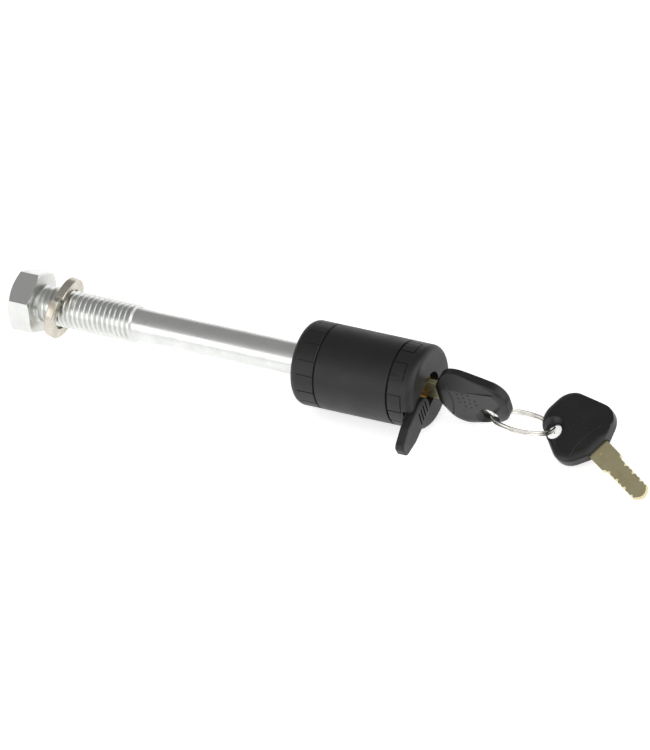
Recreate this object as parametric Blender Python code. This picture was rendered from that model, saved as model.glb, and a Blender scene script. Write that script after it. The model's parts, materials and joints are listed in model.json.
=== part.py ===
"""Hitch pin lock: a hex-headed threaded pin, its push-on barrel lock, two keys and a split ring.

X runs along the pin from the hex head to the key, +Z is up, and the origin is the centre of the
hex head's outer face.  The lock stands unlocked, with a key in it and the dust cover open.
Dimensions below are in millimetres; finished meshes are in metres.
"""

import math

import bmesh
import bpy
from mathutils import Matrix, Vector

MM = 0.001
SEGMENTS = 48            # around the barrel
FINE_GAP = 0.3           # between pieces that touch

# Pin: 5/8 inch coarse thread on a plain shank
HEAD_FLATS = 23.8
HEAD_LENGTH = 10.0
HEAD_TURN = math.radians(22.4)
CHAMFER_RADIUS = 11.4
THREAD_RADIUS = 7.9
THREAD_ROOT = 6.75
THREAD_PITCH = 25.4 / 11
THREAD_START = 12.05            # the core is plain between the head and here
THREAD_TURNS = 18
THREAD_SIDES = 24
THREAD_RUNOUT = 0.4
SHANK_RADIUS = 6.6
GROOVE_X = 144.0
GROOVE_WIDTH = 5.6
GROOVE_RADIUS = 5.0
PIN_END = 151.5
NOSE_CHAMFER = 1.6

# Split lock washer, cocked on the thread
WASHER_X = 19.6
WASHER_INNER = 8.75
WASHER_OUTER = 13.0
WASHER_THICKNESS = 3.7
WASHER_SPREAD = 1.2
WASHER_TILT = math.radians(12.0)
WASHER_SPLIT = math.radians(140)    # from +Y toward +Z
WASHER_GAP = math.radians(7)
WASHER_STEPS = 36

# Lock barrel
LOCK_REAR = 131.5
REAR_SEAM = 143.0
FRONT_SEAM = 176.1
LOCK_FRONT = 187.5
BARREL_RADIUS = 17.5
COVER_INNER = 16.3
REAR_ROUND = 3.4
FRONT_ROUND = 2.8
REAR_WALL = 3.0
FRONT_WALL = 3.7
SEAL_SEAT = 9.5                  # radius of the seal's seat in the rear wall
LIP = 0.8
SEAL_RADIUS = 8.0
SEAL_STEPS = 36
SEAM = 0.6
HOUSING_RADIUS = 16.0
HOUSING_REAR = LOCK_REAR + 3.3
HOUSING_FRONT = LOCK_FRONT - 4.2
CAM_BORE = 14.4
CYLINDER_BORE = 10.4
PIN_BORE = 6.9
MOUTH_RADIUS = 7.1
PAD_COUNT = 8
PAD_DEPTH = 0.4
PAD_WIDTH = 8.5
REAR_PAD = 6.0
FRONT_PAD = 5.6

# Ball lock
CAGE_RADIUS = 9.0
CAGE_END = PIN_END + 0.6
BALL_RADIUS = 3.0
BALL_WINDOW = 3.2
BALL_OUT = 9.9
CAM_OUTER = 14.1
CAM_WIDE = 13.1
CAM_NARROW = 11.4
CAM_REAR = 139.6
CAM_FLOOR = PIN_END + 1.0
CAM_FRONT = CAM_FLOOR + 2.3

# Key cylinder
PLUG_RADIUS = 6.5
PLUG_REAR = CAM_FRONT + 0.6
PLUG_FRONT = 181.0
PLUG_FLANGE = 7.6
SHELL_INNER = 6.8
SHELL_OUTER = 10.1
SHELL_REAR = PLUG_REAR + 2.0
TANG_HEIGHT = 5.0
TANG_WIDTH = 2.4
WAFER_COUNT = 7
WAFER_FIRST = 162.0
WAFER_PITCH = 2.75
WAFER_THICKNESS = 1.3
WAFER_HALF_WIDTH = 2.3
WAFER_HALF_HEIGHT = 6.3
WAFER_LIFT = 1.0
BROACH_HALF_WIDTH = 2.7
BROACH_REACH = 8.4
CROSS_PIN_X = 170.0

# Dust cover, sliding across the front face
SLIDE_DROP = math.radians(9.7)      # below the horizontal
COVER_TOP = 5.3                     # from the axis to the rounded end, cover open
COVER_TIP = 30.9
COVER_HALF_WIDTH = 5.4
COVER_PROUD = 1.0                   # its face, ahead of the front cap
COVER_BACK = 3.0                    # its back, behind the front cap's face
CHANNEL_HALF_WIDTH = 5.75
CHANNEL_END = 7.0
RAIL_REACH = 0.95                   # the cover's rails, out from its sides
RAIL_RUN = (11.5, 20.0)
RAIL_THICKNESS = 0.75
GRIP_TURN = math.radians(-12.6)     # four grooves for a fingertip, slanted across the cover
GRIP_FIRST = (8.0, 0.6)
GRIP_PITCH = 2.05
GRIP_COUNT = 4
GRIP_HALF_LENGTH = 3.25
GRIP_HALF_WIDTH = 0.35
GRIP_DEPTH = 0.7

# Keys
SHOULDER_X = 190.7
BLADE_LENGTH = 32.5
BLADE_WIDE = 9.2
BLADE_THICKNESS = 2.2
BLADE_HALF_WIDE = 4.9
BLADE_HALF_NARROW = 3.9
CUT_FIRST = 2.2                     # past the wide part
UPPER_CUTS = (0.9, 0.3, 1.2, 0.5, 1.1, 0.2, 0.8)
LOWER_CUTS = (0.2, 1.1, 0.4, 1.2, 0.3, 1.0, 0.6)
TANG_IN_HEAD = 9.0
KEY_HEAD_LENGTH = 32.0
KEY_HEAD_HALF_WIDTH = 14.0
KEY_HEAD_THICKNESS = 6.4
HEAD_ROUND = 1.3
TANG_HALF = 3.4
KEY_HOLE = (22.6, 7.9)              # from the shoulder, and off the blade's line
KEY_HOLE_RADIUS = 3.4
DISH_RADIUS = 7.0
WEB = 1.4
SPARE_HOLE = Vector((239.9, 0.95, -13.0))
SPARE_YAW = math.radians(-31.85)
SPARE_ROLL = math.radians(15.0)     # about its blade, hole side down

# Split ring through both keys
RING_WIRE = 0.5                     # wire radius
RING_PITCH = 1.15
RING_SLACK = 0.6                    # wire sits this far inside each hole
RING_RISE = math.radians(38.0)
RING_START = math.radians(-10)
RING_TURNS = 2
RING_STEPS = 40                     # to each turn

# name: (colour, roughness, metallic)
FINISHES = {
    "zinc_plate": ((0.72, 0.74, 0.75), 0.28, 1.0),
    "washer_steel": ((0.62, 0.60, 0.56), 0.32, 1.0),
    "black_plastic": ((0.022, 0.023, 0.024), 0.50, 0.0),
    "key_plastic": ((0.025, 0.026, 0.027), 0.42, 0.0),
    "key_nickel": ((0.60, 0.57, 0.49), 0.33, 1.0),
    "brass": ((0.72, 0.55, 0.28), 0.35, 1.0),
    "inner_steel": ((0.45, 0.46, 0.48), 0.38, 1.0),
    "ring_steel": ((0.74, 0.73, 0.70), 0.20, 1.0),
    "seal_rubber": ((0.03, 0.03, 0.03), 0.75, 0.0),
}


# Tools ---------------------------------------------------------------------------------------

def material(name):
    """Returns the named finish, making it the first time."""
    known = bpy.data.materials.get(name)
    if known:
        return known
    colour, roughness, metallic = FINISHES[name]
    made = bpy.data.materials.new(name)
    made.use_nodes = True
    shader = made.node_tree.nodes["Principled BSDF"]
    shader.inputs["Base Color"].default_value = (*colour, 1.0)
    shader.inputs["Roughness"].default_value = roughness
    shader.inputs["Metallic"].default_value = metallic
    made.diffuse_color = (*colour, 1.0)
    return made


def body(name, origin, parent=None):
    """An empty on a moving body's joint; origin is in the object's own frame."""
    empty = bpy.data.objects.new(name, None)
    bpy.context.collection.objects.link(empty)
    empty["origin_mm"] = tuple(origin)
    start = Vector(parent["origin_mm"]) if parent else Vector()
    empty.parent = parent
    empty.location = (Vector(origin) - start) * MM
    return empty


def piece(name, bm, finish, parent):
    """Turns a bmesh in the object's frame (mm) into a named object carried by parent."""
    bmesh.ops.transform(bm, matrix=Matrix.Translation(-Vector(parent["origin_mm"])), verts=bm.verts)
    bmesh.ops.scale(bm, vec=(MM, MM, MM), verts=bm.verts)
    mesh = bpy.data.meshes.new(name)
    bm.to_mesh(mesh)
    bm.free()
    mesh.shade_smooth()
    mesh.set_sharp_from_angle(angle=math.radians(32))
    mesh.materials.append(material(finish))
    made = bpy.data.objects.new(name, mesh)
    bpy.context.collection.objects.link(made)
    made.parent = parent
    return made


def boolean(target, bm, operation="DIFFERENCE"):
    """Cuts, joins or intersects target with a hidden solid."""
    tool = piece(f"{target.name}_tool_{len(target.modifiers)}", bm, "inner_steel", target.parent)
    tool.hide_render = True
    tool.display_type = "WIRE"
    step = target.modifiers.new(operation.lower(), "BOOLEAN")
    step.operation = operation
    step.solver = "EXACT"
    step.object = tool


def turned(profile, segments=SEGMENTS):
    """Spins a closed outline of (x, radius) points about the X axis."""
    bm = bmesh.new()
    verts = [bm.verts.new((x, 0.0, r)) for x, r in profile]
    edges = []
    for first, second in zip(verts, verts[1:] + verts[:1]):
        if first.co.z > 0 or second.co.z > 0:
            edges.append(bm.edges.new((first, second)))
    bmesh.ops.spin(bm, geom=verts + edges, axis=(1, 0, 0), cent=(0, 0, 0),
                   angle=math.tau, steps=segments, use_merge=True)
    bmesh.ops.remove_doubles(bm, verts=bm.verts, dist=0.0005)
    bmesh.ops.recalc_face_normals(bm, faces=bm.faces)
    return bm


def tube(x0, x1, inner, outer, segments=SEGMENTS):
    return turned([(x0, inner), (x0, outer), (x1, outer), (x1, inner)], segments)


def plate(outline, low, high, frame=None):
    """Extrudes an outline of (u, v) points from w = low to high, then maps u, v, w through frame."""
    bm = bmesh.new()
    face = bm.faces.new([bm.verts.new((u, v, low)) for u, v in outline])
    grown = bmesh.ops.extrude_face_region(bm, geom=[face])["geom"]
    tops = [item for item in grown if isinstance(item, bmesh.types.BMVert)]
    bmesh.ops.translate(bm, verts=tops, vec=(0, 0, high - low))
    if frame:
        bmesh.ops.transform(bm, matrix=frame, verts=bm.verts)
    bmesh.ops.recalc_face_normals(bm, faces=bm.faces)
    return bm


def box(low, high):
    """A box between two corners."""
    outline = [(low[0], low[1]), (high[0], low[1]), (high[0], high[1]), (low[0], high[1])]
    return plate(outline, low[2], high[2])


def rod(start, direction, length, radius, segments=20):
    """A cylinder from start along direction."""
    along = Vector(direction).normalized()
    turn = Vector((0, 0, 1)).rotation_difference(along).to_matrix().to_4x4()
    bm = bmesh.new()
    bmesh.ops.create_cone(bm, cap_ends=True, segments=segments, radius1=radius, radius2=radius,
                          depth=length)
    centre = Vector(start) + along * length / 2
    bmesh.ops.transform(bm, matrix=Matrix.Translation(centre) @ turn, verts=bm.verts)
    return bm


def joined(*parts):
    """Puts several separate bmeshes into one, as a cutter with several teeth."""
    whole = bmesh.new()
    for part in parts:
        mesh = bpy.data.meshes.new("scratch")
        part.to_mesh(mesh)
        part.free()
        whole.from_mesh(mesh)
        bpy.data.meshes.remove(mesh)
    return whole


def axes(u, v, w, origin=(0, 0, 0)):
    """The matrix whose columns are the directions u, v, w at origin."""
    turn = Matrix((u, v, w)).transposed().to_4x4()
    return Matrix.Translation(Vector(origin)) @ turn


def rounded(corners, steps=5):
    """An outline whose corners (u, v, radius) are replaced by arcs."""
    outline = []
    for index, (u, v, radius) in enumerate(corners):
        here = Vector((u, v))
        back = (Vector(corners[index - 1][:2]) - here).normalized()
        ahead = (Vector(corners[(index + 1) % len(corners)][:2]) - here).normalized()
        half = back.angle(ahead) / 2
        centre = here + (back + ahead).normalized() * radius / math.sin(half)
        start = here + back * radius / math.tan(half) - centre
        sweep = start.angle_signed(here + ahead * radius / math.tan(half) - centre)
        for step in range(steps + 1):
            angle = -sweep * step / steps
            arm = Matrix.Rotation(angle, 2) @ start
            outline.append(tuple(centre + arm))
    return outline


def loft(loops, closed=False):
    """Skins equal loops of points; an open run is capped at both ends."""
    bm = bmesh.new()
    rings = [[bm.verts.new(point) for point in loop] for loop in loops]
    pairs = list(zip(rings, rings[1:]))
    if closed:
        pairs.append((rings[-1], rings[0]))
    else:
        bm.faces.new(rings[0])
        bm.faces.new(rings[-1])
    for first, second in pairs:
        for k in range(len(first)):
            n = (k + 1) % len(first)
            bm.faces.new((first[k], first[n], second[n], second[k]))
    bmesh.ops.recalc_face_normals(bm, faces=bm.faces)
    return bm


# Pin and washer ------------------------------------------------------------------------------

def threaded_shaft():
    """The shaft as one skin: stub inside the head, helical thread, shank, locking groove and nose."""
    bm = bmesh.new()
    count = THREAD_SIDES

    def point(x, radius, index):
        angle = math.tau * index / count
        return bm.verts.new((x, radius * math.cos(angle), radius * math.sin(angle)))

    def ring(x, radius):
        return [point(x, radius, k) for k in range(count)]

    def bridge(first, second):
        for k in range(count):
            n = (k + 1) % count
            bm.faces.new((first[k], first[n], second[n], second[k]))

    rise = THREAD_RADIUS - THREAD_ROOT
    last = THREAD_TURNS * count
    root = [point(THREAD_START + THREAD_PITCH * i / count, THREAD_ROOT, i)
            for i in range(last + count + 1)]
    crest = []
    for i in range(last + 1):
        ramp = min(1.0, i / count, (last - i) / count)
        crest.append(point(THREAD_START + THREAD_PITCH * (i / count + 0.5), THREAD_ROOT + rise * ramp, i))
    for i in range(last):
        bm.faces.new((root[i], root[i + 1], crest[i + 1], crest[i]))
        bm.faces.new((crest[i], crest[i + 1], root[i + 1 + count], root[i + count]))

    before = ring(THREAD_START - THREAD_RUNOUT, THREAD_ROOT)
    thread_end = THREAD_START + THREAD_PITCH * (THREAD_TURNS + 1)
    after = ring(thread_end + THREAD_RUNOUT, THREAD_ROOT)
    for k in range(count - 1):
        bm.faces.new((before[k], before[k + 1], root[k + 1], root[k]))
        bm.faces.new((root[last + k + 1], root[last + k + 2], after[(k + 2) % count], after[k + 1]))
    bm.faces.new((before[-1], before[0], root[0], crest[0], root[count], root[count - 1]))
    bm.faces.new((root[last], root[last + 1], after[1], after[0], root[last + count], crest[last]))

    stub = ring(HEAD_LENGTH / 2, THREAD_ROOT)
    bm.faces.new(stub)
    bridge(stub, before)
    slope = SHANK_RADIUS - GROOVE_RADIUS
    wall = GROOVE_WIDTH / 2
    stations = [
        (thread_end + 2.5 * THREAD_RUNOUT, SHANK_RADIUS),
        (GROOVE_X - wall - slope, SHANK_RADIUS), (GROOVE_X - wall, GROOVE_RADIUS),
        (GROOVE_X + wall, GROOVE_RADIUS), (GROOVE_X + wall + slope, SHANK_RADIUS),
        (PIN_END - 1.4, SHANK_RADIUS), (PIN_END, SHANK_RADIUS - NOSE_CHAMFER),
    ]
    reached = after
    for x, radius in stations:
        following = ring(x, radius)
        bridge(reached, following)
        reached = following
    bm.faces.new(reached)
    bmesh.ops.recalc_face_normals(bm, faces=bm.faces)
    return bm


def make_pin(parent):
    corner = HEAD_FLATS / 2 / math.cos(math.pi / 6)
    hexagon = []
    for k in range(6):
        angle = HEAD_TURN + k * math.pi / 3
        hexagon.append((corner * math.cos(angle), corner * math.sin(angle)))
    head = plate(hexagon, 0, HEAD_LENGTH, axes((0, 1, 0), (0, 0, 1), (1, 0, 0)))
    pin = piece("hitch_pin", head, "zinc_plate", parent)
    slope = math.tan(math.radians(30))
    reach = 15.0
    chamfer = turned([
        (-0.5, 0), (-0.5, CHAMFER_RADIUS - 0.5 / slope), ((reach - CHAMFER_RADIUS) * slope, reach),
        (HEAD_LENGTH - 0.9, reach), (HEAD_LENGTH + 0.3, 12.4), (HEAD_LENGTH + 0.3, 0)])
    boolean(pin, chamfer, "INTERSECT")
    boolean(pin, threaded_shaft(), "UNION")


def make_washer(parent):
    """A rectangular section carried round one turn, its ends left apart and sprung sideways."""
    loops = []
    half = WASHER_THICKNESS / 2
    for k in range(WASHER_STEPS + 1):
        share = k / WASHER_STEPS
        angle = WASHER_SPLIT + WASHER_GAP / 2 + (math.tau - WASHER_GAP) * share
        lean = WASHER_SPREAD * (share - 0.5)
        spoke = Vector((0, math.cos(angle), math.sin(angle)))
        section = [(lean - half, WASHER_INNER), (lean - half, WASHER_OUTER),
                   (lean + half, WASHER_OUTER), (lean + half, WASHER_INNER)]
        loops.append([Vector((x, 0, 0)) + spoke * r for x, r in section])
    bm = loft(loops)
    tilt = Matrix.Translation((WASHER_X, 0, 0)) @ Matrix.Rotation(WASHER_TILT, 4, "Y")
    bmesh.ops.transform(bm, matrix=tilt, verts=bm.verts)
    piece("lock_washer", bm, "washer_steel", parent)


# Lock body -----------------------------------------------------------------------------------

def pad_cutters(seam, far):
    """Teeth that leave shallow pads in a cap band, from the seam most of the way to far."""
    teeth = []
    for k in range(PAD_COUNT):
        tooth = box((min(seam, far), -PAD_WIDTH / 2, BARREL_RADIUS - PAD_DEPTH),
                    (max(seam, far), PAD_WIDTH / 2, BARREL_RADIUS + 2))
        turn = Matrix.Rotation(math.tau * (k + 0.5) / PAD_COUNT, 4, "X")
        bmesh.ops.transform(tooth, matrix=turn, verts=tooth.verts)
        teeth.append(tooth)
    return joined(*teeth)


def rounded_edge(x, radius, size, inward, steps=4):
    """Points of a quarter round from the end face at x to the outside, inward being +1 or -1."""
    points = []
    for k in range(steps + 1):
        angle = math.pi / 2 * k / steps
        points.append((x + inward * size * (1 - math.sin(angle)), radius - size * (1 - math.cos(angle))))
    return points[::-1]


def make_covers(parent):
    rear_end = REAR_SEAM - SEAM / 2
    wall, lip = LOCK_REAR + REAR_WALL, LOCK_REAR + LIP
    rear = turned([(LOCK_REAR, MOUTH_RADIUS)] + rounded_edge(LOCK_REAR, BARREL_RADIUS, REAR_ROUND, 1)
                  + [(rear_end, BARREL_RADIUS), (rear_end, COVER_INNER), (wall, COVER_INNER),
                     (wall, SEAL_SEAT), (lip, SEAL_SEAT), (lip, MOUTH_RADIUS)])
    rear_cap = piece("rear_cap", rear, "black_plastic", parent)
    boolean(rear_cap, pad_cutters(rear_end + 1, rear_end - REAR_PAD))

    sleeve = tube(REAR_SEAM + SEAM / 2, FRONT_SEAM - SEAM / 2, COVER_INNER, BARREL_RADIUS)
    piece("outer_sleeve", sleeve, "black_plastic", parent)


def make_seal(parent):
    """A ring of 2 mm cord in the mouth of the lock."""
    seal_x = LOCK_REAR + 1.9
    loops = []
    for k in range(SEAL_STEPS):
        angle = math.tau * k / SEAL_STEPS
        spoke = Vector((0, math.cos(angle), math.sin(angle)))
        loops.append([Vector((seal_x + math.cos(a), 0, 0)) + spoke * (SEAL_RADIUS + math.sin(a))
                      for a in (math.tau * j / 8 for j in range(8))])
    piece("o_ring_seal", loft(loops, closed=True), "seal_rubber", parent)


def slide_frame():
    """u along the cover's opening direction, v across it, w along the barrel."""
    out = (0, -math.cos(SLIDE_DROP), -math.sin(SLIDE_DROP))
    across = (0, math.sin(SLIDE_DROP), -math.cos(SLIDE_DROP))
    return axes(out, across, (1, 0, 0))


def make_front_cap(parent):
    start = FRONT_SEAM + SEAM / 2
    wall = LOCK_FRONT - FRONT_WALL
    face = rounded_edge(LOCK_FRONT, BARREL_RADIUS, FRONT_ROUND, -1)
    cap = turned([(start, COVER_INNER), (start, BARREL_RADIUS)] + face[::-1]
                 + [(LOCK_FRONT, 0), (wall, 0), (wall, COVER_INNER)])
    front_cap = piece("front_cap", cap, "black_plastic", parent)
    reach = BARREL_RADIUS + 3
    for half, low, high in ((CHANNEL_HALF_WIDTH, LOCK_FRONT - 2.2, LOCK_FRONT + 1),
                            (CHANNEL_HALF_WIDTH + RAIL_REACH, wall - 0.4, LOCK_FRONT - 1.9)):
        outline = rounded([(-CHANNEL_END, half, half - 0.05), (-CHANNEL_END, -half, half - 0.05),
                           (reach, -half, 0.1), (reach, half, 0.1)], steps=8)
        boolean(front_cap, plate(outline, low, high, slide_frame()))
    boolean(front_cap, pad_cutters(start - 1, start + FRONT_PAD))


def make_housing(parent):
    step = CAM_FRONT + 0.4
    profile = [(HOUSING_REAR, CAM_BORE), (HOUSING_REAR, HOUSING_RADIUS), (HOUSING_FRONT, HOUSING_RADIUS),
               (HOUSING_FRONT, CYLINDER_BORE), (step, CYLINDER_BORE), (step, CAM_BORE)]
    housing = piece("lock_housing", turned(profile), "inner_steel", parent)
    diagonal = (0, math.sqrt(0.5), math.sqrt(0.5))
    start = Vector((CROSS_PIN_X, 0, 0)) + Vector(diagonal) * (CYLINDER_BORE - 1)
    boolean(housing, rod(start, diagonal, 8, 1.3))
    start = Vector((CROSS_PIN_X, 0, 0)) + Vector(diagonal) * 8.9
    piece("cylinder_pin", rod(start, diagonal, HOUSING_RADIUS - 9.2, 1.0), "inner_steel", parent)

    flange = HOUSING_REAR + 0.3
    cage = turned([(flange, PIN_BORE), (flange, CAM_BORE - FINE_GAP), (flange + 3, CAM_BORE - FINE_GAP),
                   (flange + 3, CAGE_RADIUS), (CAGE_END, CAGE_RADIUS), (CAGE_END, PIN_BORE)])
    ball_cage = piece("ball_cage", cage, "inner_steel", parent)
    boolean(ball_cage, rod((GROOVE_X, 0, -12), (0, 0, 1), 24, BALL_WINDOW, 24))


def make_shell(parent):
    front = HOUSING_FRONT
    profile = [(SHELL_REAR, SHELL_INNER), (SHELL_REAR, SHELL_OUTER), (front, SHELL_OUTER),
               (front, PLUG_FLANGE + FINE_GAP), (PLUG_FRONT - 1.4, PLUG_FLANGE + FINE_GAP),
               (PLUG_FRONT - 1.4, SHELL_INNER)]
    shell = piece("cylinder_shell", turned(profile), "brass", parent)
    length = (WAFER_FIRST - 1.5, WAFER_FIRST + WAFER_PITCH * (WAFER_COUNT - 1) + 1.0)
    boolean(shell, box((length[0], -BROACH_HALF_WIDTH, -BROACH_REACH),
                       (length[1], BROACH_HALF_WIDTH, BROACH_REACH)))
    boolean(shell, box((length[0], -BROACH_REACH, -BROACH_HALF_WIDTH),
                       (length[1], BROACH_REACH, BROACH_HALF_WIDTH)))
    diagonal = (0, math.sqrt(0.5), math.sqrt(0.5))
    start = Vector((CROSS_PIN_X, 0, 0)) + Vector(diagonal) * 8.5
    boolean(shell, rod(start, diagonal, 4, 1.3))


def make_ball(name, side, parent):
    bm = bmesh.new()
    bmesh.ops.create_uvsphere(bm, u_segments=16, v_segments=10, radius=BALL_RADIUS)
    bmesh.ops.translate(bm, verts=bm.verts, vec=(GROOVE_X, 0, side * BALL_OUT))
    piece(name, bm, "inner_steel", parent)


# Key cylinder --------------------------------------------------------------------------------

def make_cam(parent):
    """A cup: its inner wall spirals in over a quarter turn, twice round, to push both balls."""
    cup = piece("locking_cam", turned([(CAM_REAR, 0), (CAM_REAR, CAM_OUTER), (CAM_FRONT, CAM_OUTER),
                                       (CAM_FRONT, 0)]), "inner_steel", parent)
    outline = []
    steps = 72
    for k in range(steps):
        degrees = 360 * k / steps
        local = degrees % 180
        if local <= 90:
            share = local / 90
        else:
            share = min(1.0, max(0.0, (130 - local) / 30))
        radius = CAM_NARROW + (CAM_WIDE - CAM_NARROW) * share
        angle = math.radians(degrees)
        outline.append((radius * math.cos(angle), radius * math.sin(angle)))
    boolean(cup, plate(outline, CAM_REAR - 1, CAM_FLOOR, axes((0, 1, 0), (0, 0, 1), (1, 0, 0))))
    half_height = TANG_HEIGHT / 2 + FINE_GAP
    half_width = TANG_WIDTH / 2 + FINE_GAP
    boolean(cup, box((CAM_FLOOR - 1, -half_width, -half_height), (CAM_FRONT + 1, half_width, half_height)))


def wafer_stations():
    return [WAFER_FIRST + WAFER_PITCH * k for k in range(WAFER_COUNT)]


def make_plug(parent):
    clip_groove = PLUG_REAR + 0.7
    profile = [(PLUG_REAR, 0), (PLUG_REAR, PLUG_RADIUS), (clip_groove, PLUG_RADIUS), (clip_groove, 5.2),
               (clip_groove + 1.1, 5.2), (clip_groove + 1.1, PLUG_RADIUS),
               (PLUG_FRONT - 1.1, PLUG_RADIUS), (PLUG_FRONT - 1.1, PLUG_FLANGE),
               (PLUG_FRONT, PLUG_FLANGE), (PLUG_FRONT, 0)]
    plug = piece("cylinder_plug", turned(profile, 40), "brass", parent)
    boolean(plug, box((CAM_FLOOR + 0.4, -TANG_WIDTH / 2, -TANG_HEIGHT / 2),
                      (PLUG_REAR + 0.5, TANG_WIDTH / 2, TANG_HEIGHT / 2)), "UNION")
    half_blade = BLADE_THICKNESS / 2 + FINE_GAP
    tip = SHOULDER_X - BLADE_LENGTH
    boolean(plug, box((tip - 0.4, -half_blade, -BLADE_HALF_NARROW - 0.4),
                      (PLUG_FRONT + 1, half_blade, BLADE_HALF_NARROW + 0.4)))
    half = WAFER_THICKNESS / 2 + 0.25
    slots = [box((x - half, -WAFER_HALF_WIDTH - FINE_GAP, -PLUG_RADIUS - 1),
                 (x + half, WAFER_HALF_WIDTH + FINE_GAP, PLUG_RADIUS + 1)) for x in wafer_stations()]
    boolean(plug, joined(*slots))

    outline = []
    for k in range(25):
        angle = math.radians(35 + 290 * k / 24)
        outline.append((8.6 * math.cos(angle), 8.6 * math.sin(angle)))
    for k in range(24, -1, -1):
        angle = math.radians(35 + 290 * k / 24)
        outline.append((5.5 * math.cos(angle), 5.5 * math.sin(angle)))
    clip = plate(outline, clip_groove + 0.2, clip_groove + 0.9, axes((0, 1, 0), (0, 0, 1), (1, 0, 0)))
    piece("plug_clip", clip, "inner_steel", parent)


def make_wafer(number, x, parent):
    """A thin plate with a window that the blade passes through."""
    w, h = WAFER_HALF_WIDTH, WAFER_HALF_HEIGHT
    frame = axes((0, 1, 0), (0, 0, 1), (1, 0, 0))
    outer = rounded([(w, h, 1.0), (-w, h, 1.0), (-w, -h, 1.0), (w, -h, 1.0)], steps=3)
    low, high = x - WAFER_THICKNESS / 2, x + WAFER_THICKNESS / 2
    wafer = piece(f"wafer_{number}", plate(outer, low, high, frame), "brass", parent)
    half_blade = BLADE_THICKNESS / 2 + FINE_GAP
    reach = BLADE_HALF_NARROW + WAFER_LIFT + 0.25
    boolean(wafer, box((low - 1, -half_blade, -reach), (high + 1, half_blade, reach)))


# Dust cover ----------------------------------------------------------------------------------

def make_dust_cover(parent):
    w = COVER_HALF_WIDTH
    back = LOCK_FRONT - COVER_BACK
    front = LOCK_FRONT + COVER_PROUD
    outline = rounded([(COVER_TOP, w, w - 0.1), (COVER_TOP, -w, w - 0.1), (22.5, -w, 6.0),
                       (COVER_TIP, -2.9, 2.6), (COVER_TIP, 2.9, 2.6), (22.5, w, 6.0)])
    cover = piece("dust_cover", plate(outline, back, front, slide_frame()), "black_plastic", parent)
    edge = w + RAIL_REACH
    start, end = RAIL_RUN
    rail = [(start, edge), (start, -edge), (end, -edge), (end, edge)]
    boolean(cover, plate(rail, back + 0.05, back + 0.05 + RAIL_THICKNESS, slide_frame()), "UNION")
    length, width = GRIP_HALF_LENGTH, GRIP_HALF_WIDTH
    across = [(-width, -length), (width, -length), (width, length), (-width, length)]
    grooves = []
    for k in range(GRIP_COUNT):
        groove = plate(across, front - GRIP_DEPTH, front + 1)
        place = Matrix.Translation((GRIP_FIRST[0] + GRIP_PITCH * k, GRIP_FIRST[1], 0))
        place = slide_frame() @ place @ Matrix.Rotation(GRIP_TURN, 4, "Z")
        bmesh.ops.transform(groove, matrix=place, verts=groove.verts)
        grooves.append(groove)
    boolean(cover, joined(*grooves))


# Keys and ring -------------------------------------------------------------------------------

def blade_outline():
    """Outline of the blade from inside the head (-u) to the tip (+u), with cuts on both edges."""
    upper = [(-TANG_IN_HEAD, TANG_HALF), (-0.6, TANG_HALF), (-0.6, BLADE_HALF_WIDE),
             (BLADE_WIDE, BLADE_HALF_WIDE), (BLADE_WIDE + 0.9, BLADE_HALF_NARROW)]
    lower = list(upper)
    for side, cuts in ((upper, UPPER_CUTS), (lower, LOWER_CUTS)):
        for k, depth in enumerate(cuts):
            t = BLADE_WIDE + CUT_FIRST + WAFER_PITCH * k
            side.append((t, BLADE_HALF_NARROW))
            side.append((t + 0.9, BLADE_HALF_NARROW - depth))
            side.append((t + 1.7, BLADE_HALF_NARROW - depth))
    tip = [(BLADE_LENGTH - 1.6, 2.6), (BLADE_LENGTH - 0.4, 1.4), (BLADE_LENGTH, 0.0)]
    upper += tip
    lower += tip[:2]
    return upper + [(t, -c) for t, c in reversed(lower)]


def head_outline():
    """Rounded triangle, seen with the blade leaving toward -u."""
    length, half = KEY_HEAD_LENGTH, KEY_HEAD_HALF_WIDTH
    return rounded([(0.6, 4.8, 1.2), (7.6, half + 1.7, 5.0), (length + 0.4, 8.4, 6.0),
                    (length + 0.4, -8.4, 6.0), (7.6, -half - 1.7, 5.0), (0.6, -4.8, 1.2)])


def make_key(prefix, frame, parent):
    """frame maps u (from the blade into the head), v (toward the ring hole) and w (through the key)."""
    flip = frame @ Matrix.Scale(-1, 4, (1, 0, 0))
    half = BLADE_THICKNESS / 2
    piece(f"{prefix}_blade", plate(blade_outline(), -half, half, flip), "key_nickel", parent)

    half = KEY_HEAD_THICKNESS / 2
    bm = plate(head_outline(), -half, half)
    rims = [edge for edge in bm.edges if abs(edge.verts[0].co.z - edge.verts[1].co.z) < 1e-6]
    bmesh.ops.bevel(bm, geom=rims, offset=HEAD_ROUND, segments=2, profile=0.5, affect="EDGES", material=-1)
    bmesh.ops.transform(bm, matrix=frame, verts=bm.verts)
    head = piece(f"{prefix}_head", bm, "key_plastic", parent)
    slot = BLADE_THICKNESS / 2 + FINE_GAP
    half = TANG_HALF + FINE_GAP
    pocket = box((-2, -half, -slot), (TANG_IN_HEAD + FINE_GAP, half, slot))
    bmesh.ops.transform(pocket, matrix=frame, verts=pocket.verts)
    boolean(head, pocket)
    half = BLADE_HALF_WIDE + FINE_GAP
    shoulder = box((-2, -half, -slot), (0.6 + FINE_GAP, half, slot))
    bmesh.ops.transform(shoulder, matrix=frame, verts=shoulder.verts)
    boolean(head, shoulder)
    centre = Vector((*KEY_HOLE, 0))
    boolean(head, hole_cutter(frame @ Matrix.Translation(centre)))


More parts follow.
